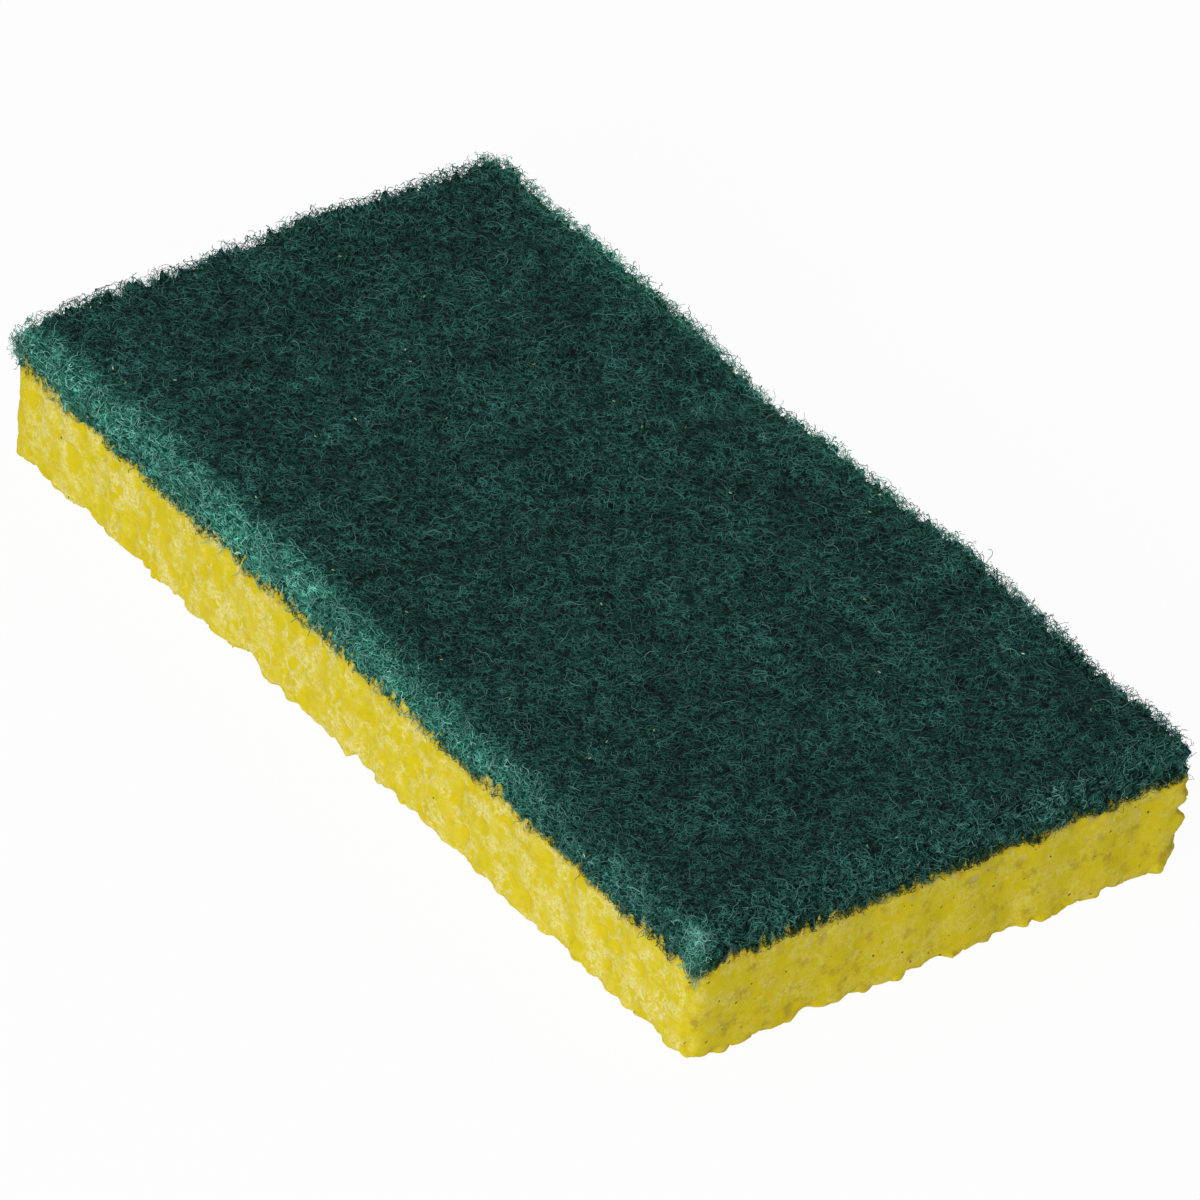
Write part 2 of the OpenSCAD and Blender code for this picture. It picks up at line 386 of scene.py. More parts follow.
def pore_depth(tree, given, place, up, free, front):
    """How deep the smaller pores are pressed in at a place."""
    gentle = put(tree, RANGE, front, 0, 1, 1, 0.2)
    large, small = pore_cells(tree, place)
    crumbs = lumps(tree, place, CRUMB_SIZE, 3.0, 0.5, CRUMB_HEIGHT)
    depth = put(tree, MATH, large, given["Large Depth"], crumbs, **TIMES_PLUS)
    depth = put(tree, MATH, small, given["Small Depth"], depth, **TIMES_PLUS)
    depth = put(tree, MATH, put(tree, MATH, depth, free, **TIMES), gentle, **TIMES)
    return put(tree, MATH, depth, put(tree, RANGE, up, *FULL_DEPTH_UP, 0.6, 1, **SMOOTH), **TIMES)


def edge_nips(tree, given, place, split, to_x, to_y, free):
    """How deep small lobes are bitten out of the lower and the upright edges."""
    close = [put(tree, RANGE, far, *NIPPED_IN, **SMOOTH) for far in (to_x, to_y, split[2])]
    near_end = put(tree, RANGE, split[0], *NIPPED_ALONG, 0.2, 1.3, **SMOOTH)
    corner = put(tree, MATH, put(tree, MATH, close[0], close[1], **TIMES), near_end, **TIMES)
    low = put(tree, MATH, put(tree, MATH, close[0], close[1], **MOST), close[2], **TIMES)
    arris = put(tree, MATH, put(tree, MATH, corner, low, **MOST), free, **TIMES)
    bend = put(tree, NOISE, place, 1 / LOBE_BEND_PITCH).outputs["Color"]
    swayed = put(tree, VECTOR, bend, (LOBE_BEND,) * 3, place, **TIMES_PLUS)
    lobe = put(tree, "ShaderNodeTexVoronoi", {"Vector": swayed, "Scale": 1 / LOBE_SIZE})
    size = put(tree, RANGE, put(tree, SPLIT, lobe.outputs["Color"]), 0, 1, 0.3, 1.0)
    nip = put(tree, RANGE, lobe.outputs["Distance"], 0.2, 0.75, -0.25, 0.75)
    nip = put(tree, MATH, put(tree, MATH, nip, size, **TIMES), arris, **TIMES)
    return put(tree, MATH, nip, given["Arris Nips"], **TIMES)


# %% The ragged upper rim
SHRED_SIZE, SHRED_HEIGHT = 0.9 * MM, 2.4 * MM
LIFTED_IN, LIFTED_DOWN = (3.2 * MM, 1.2 * MM), (3 * MM, 0)
SHREDDED_IN, SHREDDED_DOWN = (1.3 * MM, 0.5 * MM), (1.2 * MM, 0.2 * MM)
ABOVE_FLOOR = 0.01 * MM


def rim_lift(tree, place, split, inland, below_top, front):
    """How far the upper rim is lifted along the bond, with shreds that reach into the mat."""
    high = put(tree, RANGE, below_top, *LIFTED_DOWN, **SMOOTH)
    outer = put(tree, RANGE, inland, *LIFTED_IN, **SMOOTH)
    rim = put(tree, MATH, high, outer, **TIMES)
    lift = put(tree, MATH, bond_wave(tree, split), rim, **TIMES)
    outermost = put(tree, RANGE, inland, *SHREDDED_IN, **SMOOTH)
    highest = put(tree, RANGE, below_top, *SHREDDED_DOWN, **SMOOTH)
    fringe = put(tree, MATH, outermost, highest, **TIMES)
    fringe = put(tree, MATH, fringe, put(tree, RANGE, front, 0, 1, 1.0, 0.75), **TIMES)
    shreds = mottle(tree, place, SHRED_SIZE, 2.0, 0.5, 0.4, 0.68, 0.0, SHRED_HEIGHT)
    lift = put(tree, MATH, fringe, shreds, lift, **TIMES_PLUS)
    # What the bending pushed below the floor comes up again.
    sunk = put(tree, MATH, put(tree, MATH, ABOVE_FLOOR, split[2], **MINUS), 0.0, **MOST)
    return put(tree, MATH, lift, sunk, **PLUS)


# %% Foam carving tree
# How far a point lies below the blurred surface where it counts as a wall, and as a hollow.
HOLLOW_SPAN = (-0.35 * MM, 0.5 * MM)


def to_edges(tree, given, split):
    """How far a point lies in from the ends, from the long sides, and from the nearest of them."""
    to_x = put(tree, MATH, given["Half Length"], put(tree, MATH, split[0], **SIZE_OF), **MINUS)
    to_y = put(tree, MATH, given["Half Width"], put(tree, MATH, split[1], **SIZE_OF), **MINUS)
    return to_x, to_y, put(tree, MATH, to_x, to_y, **LEAST)


def foam_tree():
    tree, given = geometry_tree("carve_foam", {
        "Top": "Float", "Half Length": "Float", "Half Width": "Float", "Bend": "Float",
        "Large Depth": "Float", "Small Depth": "Float", "Arris Nips": "Float",
    })
    place = put(tree, "GeometryNodeInputPosition")
    facing = put(tree, "GeometryNodeInputNormal")
    split = put(tree, SPLIT, place).outputs
    up = split[2]
    # How far a point lies from the sides and the top, and whether it is on the front face.
    to_x, to_y, inland = to_edges(tree, given, split)
    below_top = put(tree, MATH, given["Top"], up, **MINUS)
    free = put(tree, RANGE, below_top, *CARVED_DOWN, **SMOOTH)
    zone = [put(tree, MATH, given["Half Length"], depth, **MINUS) for depth in FRONT_ZONE]
    front = put(tree, RANGE, split[0], *zone, **SMOOTH)

    soft = softened(tree, given["Geometry"], place, up, below_top, front)
    bend = wall_bend(tree, given, place, up, free, front)
    bent = put(tree, MOVE, {"Geometry": soft, "Offset": bend})
    depth = pore_depth(tree, given, place, up, free, front)
    nips = edge_nips(tree, given, place, split, to_x, to_y, free)
    inward = put(tree, MATH, put(tree, MATH, depth, nips, **PLUS), -1.0, **TIMES)
    pressed = put(tree, VECTOR, facing, inward, **SCALED)
    carved = put(tree, MOVE, {"Geometry": bent, "Offset": pressed})
    lift = put(tree, JOIN, 0.0, 0.0, rim_lift(tree, place, split, inland, below_top, front))
    carved = put(tree, MOVE, {"Geometry": carved, "Offset": lift})

    # Keep for the paint how deep in a hollow each point lies.
    blurred = put(tree, BLUR, place, PAINT_BLUR, **VECTORS)
    rise = put(tree, VECTOR, blurred, place, **MINUS)
    hollow = put(tree, VECTOR, rise, facing, operation="DOT_PRODUCT")
    hollow = put(tree, RANGE, hollow, *HOLLOW_SPAN)
    marked = put(tree, STORE, {"Geometry": carved, "Name": "hollow", "Value": hollow})
    smooth = put(tree, "GeometryNodeSetShadeSmooth", {"Geometry": marked})
    put(tree, "NodeGroupOutput", smooth)
    return tree


# %% Carve and thin the foam
FOAM_NET = 0.42 * MM
FOAM_TRIANGLES = 150_000
WALL_BEND, ARRIS_NIPS = 0.9 * MM, 1.2 * MM
LARGE_DEPTH, SMALL_DEPTH = 0.2 * MM, 0.12 * MM


def even_net(worked, size, name):
    """The object with an even net of faces over it."""
    net = worked.modifiers.new("even_net", "REMESH")
    net.mode = "VOXEL"
    net.voxel_size = size
    return plain(worked, name)


def thinned(worked, triangles, name):
    """The object with about so many triangles: flat stretches lose theirs first."""
    thin = worked.modifiers.new("thin_out", "DECIMATE")
    thin.ratio = min(1.0, triangles / len(worked.data.loop_triangles))
    return plain(worked, name)


foam = even_net(skin_copy("sponge_block", "foam_work"), FOAM_NET, "foam_net")
run_tree(foam, foam_tree(), {
    "Top": BOND_Z, "Half Length": HALF_L, "Half Width": HALF_W, "Bend": WALL_BEND,
    "Large Depth": LARGE_DEPTH, "Small Depth": SMALL_DEPTH, "Arris Nips": ARRIS_NIPS,
})
foam = plain(foam, "foam_carved")

# Tears and lobes at the lower edge and the near corner: place and reach in mm, then the push.
TEARS = [
    (79.0, 40.5, 13.5, 2.0, (0.5, 0.9, 0.0)),
    (79.0, 40.5, 11.4, 1.0, (0.8, 1.3, -0.6)),
    (79.5, 41.5, 9.8, 1.1, (-1.1, -2.3, 0.0)),
    (79.0, 40.5, 7.4, 1.2, (0.9, 1.6, -0.2)),
    (79.5, 41.5, 4.9, 0.9, (-0.8, -1.6, 0.0)),
    (79.0, 40.5, 2.6, 0.9, (0.6, 1.0, 0.0)),
    (79.5, 41.0, 0.4, 2.0, (-0.5, -1.0, 0.5)),
    (79.5, 30.0, 0.2, 0.7, (0.8, 0.8, -0.2)),
    (79.5, 28.6, 0.4, 0.8, (-0.3, 0.0, 1.0)),
    (79.5, 14.5, 0.3, 0.8, (0.9, 0.7, -0.2)),
    (79.5, 12.8, 0.3, 0.9, (-0.2, 0.0, 1.1)),
    (79.5, 1.5, 0.3, 0.8, (1.2, 1.0, -0.3)),
    (79.5, -0.3, 0.3, 0.8, (-0.3, 0.0, 1.3)),
    (79.5, -20.0, 0.3, 2.2, (-0.2, 0.0, 0.8)),
    (-44.0, -41.0, 0.3, 0.8, (0.5, -1.2, -0.2)),
    (-45.8, -41.0, 0.4, 0.9, (0.0, 0.6, 1.1)),
    (-22.0, -41.0, 0.3, 2.4, (0.0, 0.5, 0.9)),
    (2.0, -41.0, 0.3, 0.7, (0.7, -0.9, -0.2)),
    (3.6, -41.0, 0.4, 0.9, (0.0, 0.5, 1.0)),
]


def tear(worked, tears):
    """Push the mesh about its marked places, less and less with the distance."""
    mesh = worked.data
    spots = np.empty(len(mesh.vertices) * 3)
    mesh.vertices.foreach_get("co", spots)
    spots = spots.reshape(-1, 3)
    for x, y, z, reach, push in tears:
        far = np.linalg.norm(spots - np.array((x, y, z)) * MM, axis=1) / (reach * MM)
        spots += np.outer(np.clip(1 - far ** 2 / 4, 0, 1) ** 2, push) * MM
    spots[:, 2] = np.maximum(spots[:, 2], ABOVE_FLOOR)
    mesh.vertices.foreach_set("co", spots.ravel())
    mesh.update()


tear(foam, TEARS)
sponge = thinned(foam, FOAM_TRIANGLES, "sponge_block_foam")

# %% [markdown]
# ## Cellulose
# Dyed cellulose foam is matt and lets light in for a millimetre or two, so it glows a little
# and its shadows stay soft. The pores, where light bounces from yellow to yellow, are a full
# yellow. The cut walls between them are frayed to fine pale specks.

# %% Foam colours
FOAM_YELLOW = "#dbc81a"
FOAM_FRAY = "#ebe29c"
FOAM_STAIN = "#b59b2c"
# Painted shade: a darker orange under the mat's overhang, and darker blotches on the front.
FOAM_UNDER_PAD_SHADE = "#b48d1c"
FOAM_SHADE = "#c9b823"
FOAM_CHALK = "#dcd49a"
FOAM_SPECK = "#3c3420"
# Sizes of the paint's patches, spots and bumps, and how far light gets into the foam.
EDGE_SIZE, FRAY_SIZE, PATCH_SIZE = 0.55 * MM, 0.45 * MM, 4 * MM
SHADE_BLOTCH_SIZE, STAIN_SIZE, UNDER_PAD_SHADE_SIZE, CHALK_SIZE = 1.1 * MM, 2.8 * MM, 0.8 * MM, 1.4 * MM
SPECK_PITCH, SPECK_BEND, SPECK_BEND_PITCH = 1.7 * MM, 0.5 * MM, 0.3 * MM
BUMP_SIZE, BUMP_DEPTH = 0.35 * MM, 0.12 * MM
GLOW_DEPTH = 1.2 * MM
# Zones of the paint, from and to: in from the front, and down from the wavy bond.
FRONT_PAINT = (2.5 * MM, 1 * MM)
UNDER_PAD_SHADE_ZONE, CHALKED, SPECKED = (1.3 * MM, 0.1 * MM), (7 * MM, 2 * MM), (2.5 * MM, 1.0 * MM)

# %% Walls, stains and specks
def wall_share(tree, place, front):
    """How pale a place is: most on the torn walls, least on the front and in the pores, whose full yellow
    is painted light that bounces from yellow to yellow.
    """
    large, small = pore_cells(tree, place)
    edge = put(tree, MATH, put(tree, NOISE, place, 1 / EDGE_SIZE, 3.0), 0.5, **MINUS)
    large = put(tree, MATH, edge, 0.9, large, **TIMES_PLUS)
    small = put(tree, MATH, edge, 0.9, small, **TIMES_PLUS)
    large = put(tree, RANGE, large, -0.02, 0.34, **SMOOTH)
    small = put(tree, RANGE, small, 0.04, 0.42, 0.0, 0.97, **SMOOTH)
    # The hollows take full yellow: painted light, which bounces from yellow to yellow in them.
    hollow = put(tree, "ShaderNodeAttribute", attribute_name="hollow").outputs["Fac"]
    hollow = put(tree, RANGE, hollow, 0.48, 0.68, **SMOOTH)
    pore = put(tree, MATH, put(tree, MATH, large, small, **MOST), hollow, **MOST)
    fray = mottle(tree, place, FRAY_SIZE, 4.0, 0.75, 0.36, 0.62, 0.1, 1.0)
    patch = mottle(tree, place, PATCH_SIZE, 3.0, 0.6, 0.38, 0.62, 0.15, 1.0)
    faced = put(tree, RANGE, front, 0, 1, 1.0, 0.4)
    wall = put(tree, MATH, 1.0, put(tree, MATH, pore, 0.97, **TIMES), **MINUS)
    share = put(tree, MATH, fray, wall, **TIMES)
    return put(tree, MATH, share, put(tree, MATH, patch, faced, **TIMES), **TIMES)


def stained(tree, place, front, below, colour):
    """The smooth front has blotches of painted shade, stains, and chalky streaks near the bond; a painted
    shadow of the mat lies just under the bond all round.
    """
    # Blotches of painted shade on the front.
    shade_blotch = mottle(tree, place, SHADE_BLOTCH_SIZE, 5.0, 0.7, 0.4, 0.68, 0.0, 0.4)
    shade_blotch = put(tree, MATH, shade_blotch, front, **TIMES)
    colour = put(tree, MIX, shade_blotch, colour, linear(FOAM_SHADE), **COLOURS)
    stain = mottle(tree, place, STAIN_SIZE, 4.0, 0.65, 0.52, 0.72, 0.0, 0.9)
    stain = put(tree, MATH, stain, put(tree, RANGE, front, 0, 1, 0.3, 1.0), **TIMES)
    colour = put(tree, MIX, stain, colour, linear(FOAM_STAIN), **COLOURS)
    # A painted shadow of the mat's overhang, just under the wavy bond.
    under_pad_shade = mottle(tree, place, UNDER_PAD_SHADE_SIZE, 3.0, 0.7, 0.4, 0.62, 0.1, 0.65)
    under_pad_shade = put(tree, MATH, under_pad_shade, put(tree, RANGE, below, *UNDER_PAD_SHADE_ZONE, **SMOOTH), **TIMES)
    colour = put(tree, MIX, under_pad_shade, colour, linear(FOAM_UNDER_PAD_SHADE), **COLOURS)
    chalk = mottle(tree, place, CHALK_SIZE, 3.0, 0.6, 0.55, 0.74, 0.0, 0.45)
    upper = put(tree, RANGE, below, *CHALKED, 0.15, 1.0, **SMOOTH)
    chalk = put(tree, MATH, put(tree, MATH, chalk, front, **TIMES), upper, **TIMES)
    return put(tree, MIX, chalk, colour, linear(FOAM_CHALK), **COLOURS)


def speckled(tree, place, front, below, colour):
    """A few dark specks, nearly all of them on the front."""
    bend = put(tree, NOISE, place, 1 / SPECK_BEND_PITCH).outputs["Color"]
    bent = put(tree, VECTOR, bend, (SPECK_BEND,) * 3, place, **TIMES_PLUS)
    dots = put(tree, "ShaderNodeTexVoronoi", {"Vector": bent, "Scale": 1 / SPECK_PITCH})
    draw = put(tree, SPLIT, dots.outputs["Color"]).outputs
    near_bond = put(tree, RANGE, below, *SPECKED, 0.0, 0.25, **SMOOTH)
    rare = put(tree, MATH, put(tree, RANGE, front, 0, 1, 0.95, 0.15), near_bond, **MINUS)
    chosen = put(tree, MATH, draw[1], rare, operation="GREATER_THAN")
    width = put(tree, RANGE, draw[2], 0, 1, 0.04, 0.18)
    dot = put(tree, MATH, dots.outputs["Distance"], width, **OVER)
    dot = put(tree, MATH, put(tree, RANGE, dot, 1.0, 0.6, **SMOOTH), chosen, **TIMES)
    return put(tree, MIX, put(tree, MATH, dot, 0.85, **TIMES), colour, linear(FOAM_SPECK), **COLOURS)


# %% Foam material
def cellulose():
    material, tree = bare_material("dyed_cellulose_foam")
    place = put(tree, "ShaderNodeTexCoord").outputs["Object"]
    split = put(tree, SPLIT, place).outputs
    front = put(tree, RANGE, split[0], *(HALF_L - depth for depth in FRONT_PAINT), **SMOOTH)
    below = put(tree, MATH, put(tree, MATH, BOND_Z, bond_wave(tree, split), **PLUS), split[2], **MINUS)
    share = wall_share(tree, place, front)
    colour = put(tree, MIX, share, linear(FOAM_YELLOW), linear(FOAM_FRAY), **COLOURS)
    colour = stained(tree, place, front, below, colour)
    colour = speckled(tree, place, front, below, colour)
    fuzz = put(tree, NOISE, place, 1 / BUMP_SIZE, 3.0, 0.6)
    bump = put(tree, "ShaderNodeBump", {"Height": fuzz, "Strength": 0.4, "Distance": BUMP_DEPTH})
    shader = put(
        tree, "ShaderNodeBsdfPrincipled",
        {
            "Base Color": colour, "Normal": bump, "Roughness": 0.9, "Specular IOR Level": 0.15,
            "Subsurface Weight": 0.4, "Subsurface Radius": (1.0, 0.8, 0.2), "Subsurface Scale": GLOW_DEPTH,
        },
    )
    put(tree, "ShaderNodeOutputMaterial", {"Surface": shader})
    return material


sponge.data.materials.append(cellulose())
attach(sponge, "root")
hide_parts("sponge_block")
print("the block wears", sponge.data.materials[0].name)

# %% [markdown]
# ## The heart of the scouring pad
# Deep inside the mat hardly any light gets through, and the eye sees a dark mass with a
# tangle of fibres over it. So the pad is a dark lumpy heart, a little smaller than the solid,
# and a cover of real fibre meshes. The heart's sides are drawn in and ragged, so that the rim
# is all fibres and the background shows between them.

# %% Pad heart
HEART_NET = 0.5 * MM
HEART_TRIANGLES = 105_000
# How far the heart is drawn in at the sides, the top and the upper rim, and more at far rims.
SIDE_INSET, TOP_INSET, RIM_INSET, FAR_RIM_INSET = 0.35 * MM, 0.35 * MM, 0.25 * MM, 0.45 * MM
RAGGEDNESS = 1.0 * MM
BROAD_LUMP, FINE_LUMP = 3.4 * MM, 1.3 * MM
LOW_FRAY_SIZE, LOW_FRAY_HEIGHT = 1.5 * MM, 3.4 * MM
CUT_PATCH = 3.2 * MM
# Painted light on the cut sides, partly their paler cut fibre: a lighter colour where the side lamp falls,
# full on the long sides, less toward the near end and on the short ends, fading onto the top beside the
# long sides, and a light patch at the near corner.
SHORT_SIDE_LIT_SHARE = 0.12
# Zones, from and to: along the pad, in from a side or a corner, and up from the bond.
LIT_ALONG, LIT_IN, LIT_CORNER = (-25 * MM, 60 * MM), (7 * MM, 0.5 * MM), (4.5 * MM, 1.5 * MM)
SHADED_UP = (-0.3 * MM, 2.4 * MM)
RIM_IN, FAR_RIM_IN = (4 * MM, 1.5 * MM), (3.5 * MM, 1.0 * MM)
SUNK_UP, WAVY_UP = (0.2 * MM, 2 * MM), (3.5 * MM, 0)
ROUGH_UP, HIGH_RIM_UP = (0.3 * MM, 3 * MM), (2 * MM, 6 * MM)


def lit_cut_share(tree, facing, place):
    """Painted light, partly the paler cut fibre: 1 where the skin is a long side's cut, less toward one
    end and at the ends, 0 on top.
    """
    turned, split = put(tree, SPLIT, facing).outputs, put(tree, SPLIT, place).outputs
    patches = lumps(tree, place, CUT_PATCH, 3.0, 0.5, 0.8)
    along = put(tree, RANGE, split[0], *LIT_ALONG, 1.15, 0.2, **SMOOTH)
    long_side = put(tree, MATH, put(tree, MATH, turned[1], **SIZE_OF), along, **TIMES)
    short_side = put(tree, MATH, put(tree, MATH, turned[0], **SIZE_OF), SHORT_SIDE_LIT_SHARE, **TIMES)
    sideways = put(tree, MATH, long_side, short_side, **MOST)
    to_y = put(tree, MATH, HALF_W, put(tree, MATH, split[1], **SIZE_OF), **MINUS)
    brim = put(tree, RANGE, to_y, *LIT_IN, 0.0, 0.42, **SMOOTH)
    sideways = put(tree, MATH, sideways, put(tree, MATH, brim, along, **TIMES), **MOST)
    share = put(tree, MATH, sideways, put(tree, MATH, patches, 1.0, **PLUS), **TIMES)
    flat = put(tree, JOIN, split[0], split[1], 0.0)
    corner = put(tree, VECTOR, flat, (HALF_L, -HALF_W, 0.0), operation="DISTANCE")
    corner = put(tree, RANGE, corner, *LIT_CORNER, **SMOOTH)
    corner = put(tree, MATH, corner, put(tree, MATH, patches, 0.95, **PLUS), **TIMES)
    corner = put(tree, MATH, corner, 0.0, **MOST)
    return put(tree, MATH, put(tree, RANGE, share, 0.0, 0.55, **SMOOTH), corner, **MOST)


def bond_shade(tree, split):
    """1 high on the pad, and darker toward its wavy lower edge, where little light comes."""
    above = put(tree, MATH, split[2], put(tree, MATH, BOND_Z, bond_wave(tree, split), **PLUS), **MINUS)
    return put(tree, RANGE, above, *SHADED_UP, 0.85, 1.0, **SMOOTH)


# %% Heart tree
def to_far_sides(tree, given, split):
    """How far a point lies in from the nearer of the two sides that face away from the camera."""
    past_x = put(tree, MATH, given["Half Length"], split[0], **PLUS)
    past_y = put(tree, MATH, given["Half Width"], split[1], **MINUS)
    return put(tree, MATH, past_x, past_y, **LEAST)


def heart_inset(tree, given, place, split, above, rim):
    """The push that draws the sides in, sinks the top and hangs the lower rim along the bond."""
    up = put(tree, RANGE, above, *SUNK_UP, **SMOOTH)
    drop = put(tree, MATH, put(tree, MATH, given["Top Inset"], up, **TIMES), -1.0, **TIMES)
    frays = lumps(tree, place, LOW_FRAY_SIZE, 2.0, 0.5, LOW_FRAY_HEIGHT)
    hang = put(tree, MATH, bond_wave(tree, split), frays, **PLUS)
    low_rim = put(tree, MATH, rim, put(tree, RANGE, above, *WAVY_UP, **SMOOTH), **TIMES)
    hang = put(tree, MATH, hang, low_rim, **TIMES)
    share_x = put(tree, MATH, given["Side Inset"], given["Half Length"], **OVER)
    share_y = put(tree, MATH, given["Side Inset"], given["Half Width"], **OVER)
    past_x = put(tree, MATH, split[0], share_x, **TIMES)
    past_y = put(tree, MATH, split[1], share_y, **TIMES)
    past_z = put(tree, MATH, put(tree, MATH, drop, hang, **PLUS), -1.0, **TIMES)
    return put(tree, VECTOR, put(tree, JOIN, past_x, past_y, past_z), -1.0, **SCALED)


def heart_roughness(tree, given, place, level, above, rim, far_rim):
    """How far a point is pushed out by lumps, most on the sides and at the two far rims."""
    broad = lumps(tree, place, BROAD_LUMP, 2.0, 0.5, 1.6)
    fine = lumps(tree, place, FINE_LUMP, 2.0, 0.5, 4.0)
    rough = put(tree, MATH, broad, fine, **PLUS)
    sideways = put(tree, RANGE, put(tree, MATH, level, **SIZE_OF), 0.97, 0.7, 0.22, 1.5, **SMOOTH)
    off_bond = put(tree, RANGE, above, *ROUGH_UP, 0.35, 1.0, **SMOOTH)
    sideways = put(tree, MATH, sideways, off_bond, **TIMES)
    sideways = put(tree, MATH, sideways, put(tree, MATH, far_rim, 1.5, **TIMES), **MOST)
    rough = put(tree, MATH, put(tree, MATH, rough, sideways, **TIMES), given["Raggedness"], **TIMES)
    under = put(tree, RANGE, level, -0.9, -0.5, **SMOOTH)
    high_rim = put(tree, MATH, rim, put(tree, RANGE, above, *HIGH_RIM_UP, **SMOOTH), **TIMES)
    inset = put(tree, MATH, far_rim, FAR_RIM_INSET, given["Rim Inset"], **TIMES_PLUS)
    drawn_in = put(tree, MATH, high_rim, inset, **TIMES)
    return put(tree, MATH, put(tree, MATH, rough, under, **TIMES), drawn_in, **MINUS)


def heart_tree():
    tree, given = geometry_tree("sink_heart", {
        "Half Length": "Float", "Half Width": "Float", "Bond": "Float", "Side Inset": "Float",
        "Top Inset": "Float", "Rim Inset": "Float", "Raggedness": "Float",
    })
    place = put(tree, "GeometryNodeInputPosition")
    facing = put(tree, "GeometryNodeInputNormal")
    split = put(tree, SPLIT, place).outputs
    level = put(tree, SPLIT, facing).outputs[2]
    above = put(tree, MATH, split[2], given["Bond"], **MINUS)
    rim = put(tree, RANGE, to_edges(tree, given, split)[2], *RIM_IN, **SMOOTH)
    far_rim = put(tree, RANGE, to_far_sides(tree, given, split), *FAR_RIM_IN, **SMOOTH)
    # Marks for the paint: painted light on the cut sides, partly their paler fibre, and painted shade near
    # the bond.
    cut_and_lit = lit_cut_share(tree, facing, place)
    skin = put(tree, STORE, {"Geometry": given["Geometry"], "Name": "cut_and_lit", "Value": cut_and_lit})
    skin = put(tree, STORE, {"Geometry": skin, "Name": "shade", "Value": bond_shade(tree, split)})
    inset = heart_inset(tree, given, place, split, above, rim)
    sunk = put(tree, MOVE, {"Geometry": skin, "Offset": inset})
    out = heart_roughness(tree, given, place, level, above, rim, far_rim)
    ragged = put(tree, MOVE, {"Geometry": sunk, "Offset": put(tree, VECTOR, facing, out, **SCALED)})
    smooth = put(tree, "GeometryNodeSetShadeSmooth", {"Geometry": ragged})
    put(tree, "NodeGroupOutput", smooth)
    return tree


# %% Carve and thin the heart
# Where the pad swells past its solid at the far rims: place and reach in mm, then the push.
PUFFS = [
    (-79.5, -31.0, 20.0, 10.0, (-0.9, 0.0, 0.35)),
    (-79.5, -11.0, 20.0, 10.0, (-0.9, 0.0, 0.35)),
    (-79.5, 9.0, 20.0, 10.0, (-0.9, 0.0, 0.35)),
    (-79.5, 29.0, 20.0, 10.0, (-0.9, 0.0, 0.35)),
    (58.0, 41.0, 20.0, 12.0, (0.0, 0.8, 0.0)),
    (32.0, 41.0, 20.0, 9.0, (0.0, 0.5, 0.0)),
    (-8.0, 41.0, 20.0, 16.0, (0.0, -0.6, 0.0)),
    (79.5, 41.0, 22.5, 2.0, (0.2, 0.6, 0.0)),
]

heart = even_net(skin_copy("scour_pad", "heart_work"), HEART_NET, "heart_net")
tear(heart, PUFFS)
run_tree(heart, heart_tree(), {
    "Half Length": HALF_L, "Half Width": HALF_W, "Bond": BOND_Z, "Side Inset": SIDE_INSET,
    "Top Inset": TOP_INSET, "Rim Inset": RIM_INSET, "Raggedness": RAGGEDNESS,
})
heart = thinned(plain(heart, "heart_ragged"), HEART_TRIANGLES, "scour_pad_heart")

# %% [markdown]
# ## Fibres
# A real mat holds kilometres of fibre, far more than a mesh can, so the upper fibres are
# meshes and the ones between and below them are drawn on the heart. Each fibre is a walk:
# from a point on the pad's skin it takes short steps, and turns a little more or less at each
# one, as crimped fibre does. Accumulate Field adds up the turns, and then the steps. A fibre
# that walks off the edge is drawn back to it, which leaves a short fuzz.

# %% Roots and walks
# How far apart in the noise two steps of a walk, and two walks, are.
NOISE_PER_STEP, NOISE_PER_FIBRE = 0.45, 7.31


def chance(tree, given, number, low, high, which):
    """A random value for each fibre."""
    seed = put(tree, MATH, given["Seed"], float(which), **PLUS)
    return put(tree, "FunctionNodeRandomValue", low, high, {"ID": number, "Seed": seed})


def fibre_roots(tree, given):
    """Points on the skin, each with its turn, its facing and a number."""
    cover = put(tree, "GeometryNodeInputNamedAttribute", {"Name": "cover"})
    density = put(tree, MATH, given["Density"], cover, **TIMES)
    roots = put(
        tree, "GeometryNodeDistributePointsOnFaces",
        {"Mesh": given["Geometry"], "Density": density, "Seed": given["Seed"]},
    )
    index = put(tree, "GeometryNodeInputIndex")
    kept = put(tree, "GeometryNodeCaptureAttribute", roots)
    kept.capture_items.new("ROTATION", "Turn")
    kept.capture_items.new("VECTOR", "Facing")
    kept.capture_items.new("INT", "Fibre")
    tree.links.new(roots.outputs["Rotation"], kept.inputs["Turn"])
    tree.links.new(roots.outputs["Normal"], kept.inputs["Facing"])
    tree.links.new(index.outputs[0], kept.inputs["Fibre"])
    return kept.outputs


